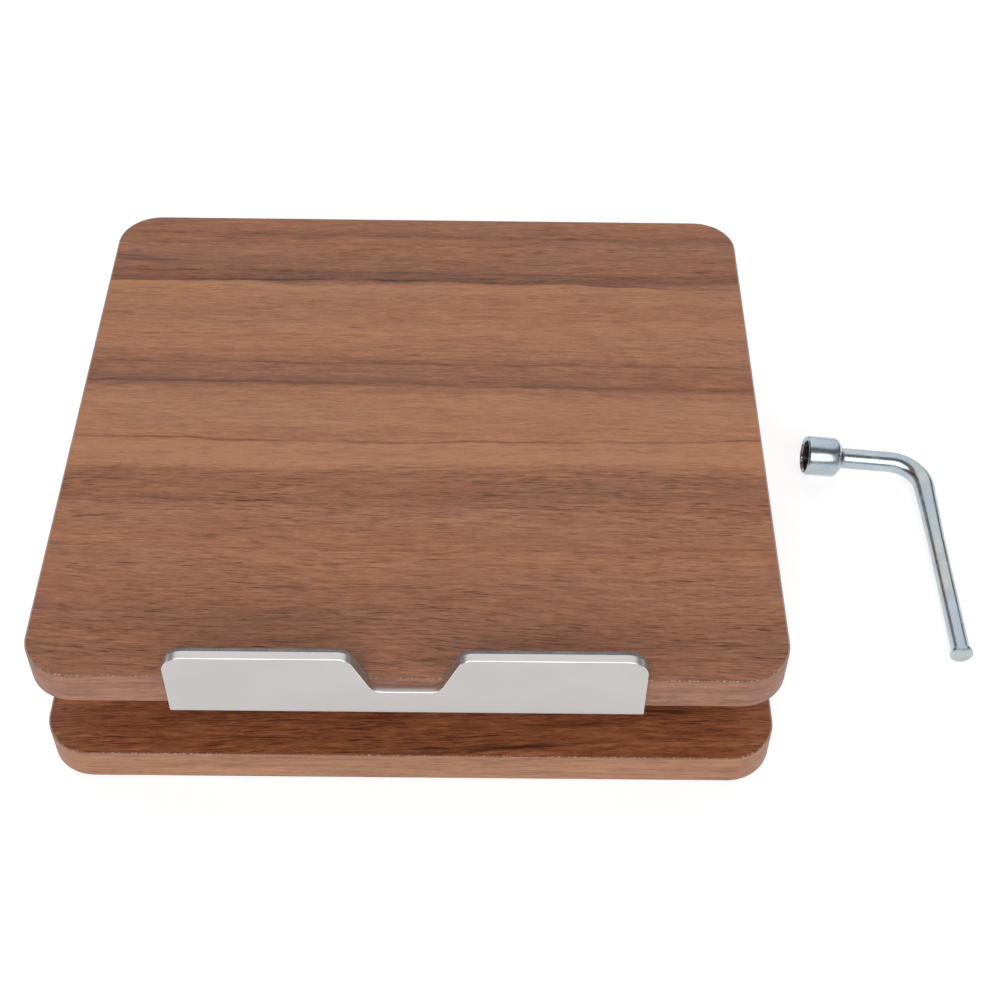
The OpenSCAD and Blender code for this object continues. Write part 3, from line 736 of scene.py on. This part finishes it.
armLook = {"armEdge": 0.5, "bracketEdge": 0.3, "tubeEdge": 0.4}
for side in ("left", "right"):
    for start, body, edge, material in (("arm_", "arms", "armEdge", armSteel),
                                        ("base_bracket_", "base", "bracketEdge", bracketSteel),
                                        ("tray_bracket_", "tray", "bracketEdge", bracketSteel)):
        name = start + side
        stand(easedCopy(camel(name), name, armLook[edge] * mm, [material]), body, "bracket_steel", name)
stand(easedCopy("crossTube", "cross_tube", armLook["tubeEdge"] * mm, [tubeSteel]), "arms", "bracket_steel",
      "cross_tube")
print("arms and brackets made")

# screws, bolts, nuts and washers

hardwareLook = {
    "easedEdge": 0.18,
    "finishes": [  # material, slot, nodes
        (zincHardware, "zinc_plated_steel", ["stop_plate_screws", "base_bracket_screws", "tray_bracket_screws",
                                             "cross_tube_screws", "base_hinge_bolts", "tray_hinge_bolts",
                                             "base_flat_washers", "tray_flat_washers"]),
        (nylonWhite, "nylon", ["base_friction_washers", "tray_friction_washers"]),
        (springSteel, "spring_steel", ["base_disc_springs", "tray_disc_springs"]),
        (zincHardware, "zinc_plated_steel", ["base_lock_nuts", "tray_lock_nuts"]),
    ],
}
bodyOf = {name: body for body, members in frame["record"]["behaviour"]["bodies"].items() for name in members}
for material, slotName, members in hardwareLook["finishes"]:
    for name in members:
        piece = easedCopy(camel(name), name, hardwareLook["easedEdge"] * mm, [material], 1)
        stand(piece, bodyOf[name], slotName, name)
print("hardware made")

# feet

footLook = {"easedEdge": 0.25}
for place in ("front_left", "front_right", "rear_left", "rear_right"):
    name = "foot_" + place
    stand(easedCopy(camel(name), name, footLook["easedEdge"] * mm, [footRubber]), "base", "rubber", name)
print("feet made")


# studio

studio = {"floorSize": 10.0, "floorShade": 0.55, "floorGlow": 0.64, "skyStrength": 0.13,
          "backPower": 58, "frontPower": 66}


def floor():
    bm = bmesh.new()
    bmesh.ops.create_grid(bm, x_segments=2, y_segments=2, size=studio["floorSize"] / 2,
                          matrix=Matrix.Translation((0, 0, -0.1 * mm)))  # a hair below the feet
    material = bpy.data.materials.new("paleFloor")
    material.use_nodes = True
    shader = material.node_tree.nodes["Principled BSDF"]
    shader.inputs["Base Color"].default_value = (studio["floorShade"],) * 3 + (1,)
    shader.inputs["Roughness"].default_value = 0.9
    shader.inputs["Specular IOR Level"].default_value = 0.1
    shader.inputs["Emission Color"].default_value = (1, 1, 1, 1)
    shader.inputs["Emission Strength"].default_value = studio["floorGlow"]
    piece = linkMesh("paleFloor", bm, [material])


def softbox(name, place, width, height, power):
    lamp = bpy.data.lights.new(name, "AREA")
    lamp.shape = "RECTANGLE"
    lamp.size, lamp.size_y = width, height
    lamp.energy = power
    light = bpy.data.objects.new(name, lamp)
    light.location = place
    light.rotation_euler = (-Vector(place)).to_track_quat("-Z", "Y").to_euler()  # aimed at the origin
    bpy.context.scene.collection.objects.link(light)


def sky():
    world = bpy.data.worlds.new("studioWorld")
    bpy.context.scene.world = world
    world.use_nodes = True
    background = world.node_tree.nodes["Background"]
    background.inputs["Color"].default_value = (0.98, 0.99, 1, 1)
    background.inputs["Strength"].default_value = studio["skyStrength"]


floor()
sky()
softbox("backSoftbox", (0, 1.80, 1.74), 5.0, 4.0, studio["backPower"])
softbox("frontSoftbox", (0, -1.96, 1.56), 4.0, 1.97, studio["frontPower"])

cameraShape = {"place": (28.03, -491.0, 561.93), "pitch": 47.898, "yaw": 0.6933, "roll": -1.1052, "lens": 61.09}


def camera():
    lens = bpy.data.cameras.new("camera")
    lens.lens = cameraShape["lens"]
    lens.sensor_width = 36
    lens.clip_start = 0.01
    lens.clip_end = 50
    viewer = bpy.data.objects.new("camera", lens)
    turn = Matrix.Rotation(-math.radians(cameraShape["yaw"]), 4, "Z")
    tip = Matrix.Rotation(math.radians(90 - cameraShape["pitch"]), 4, "X")
    lean = Matrix.Rotation(-math.radians(cameraShape["roll"]), 4, "Z")
    viewer.matrix_world = Matrix.Translation(Vector(cameraShape["place"]) * mm) @ turn @ tip @ lean
    bpy.context.scene.collection.objects.link(viewer)
    bpy.context.scene.camera = viewer
    bpy.context.scene.view_settings.view_transform = "Standard"
    bpy.context.scene.view_settings.look = "None"


camera()
print("studio made")
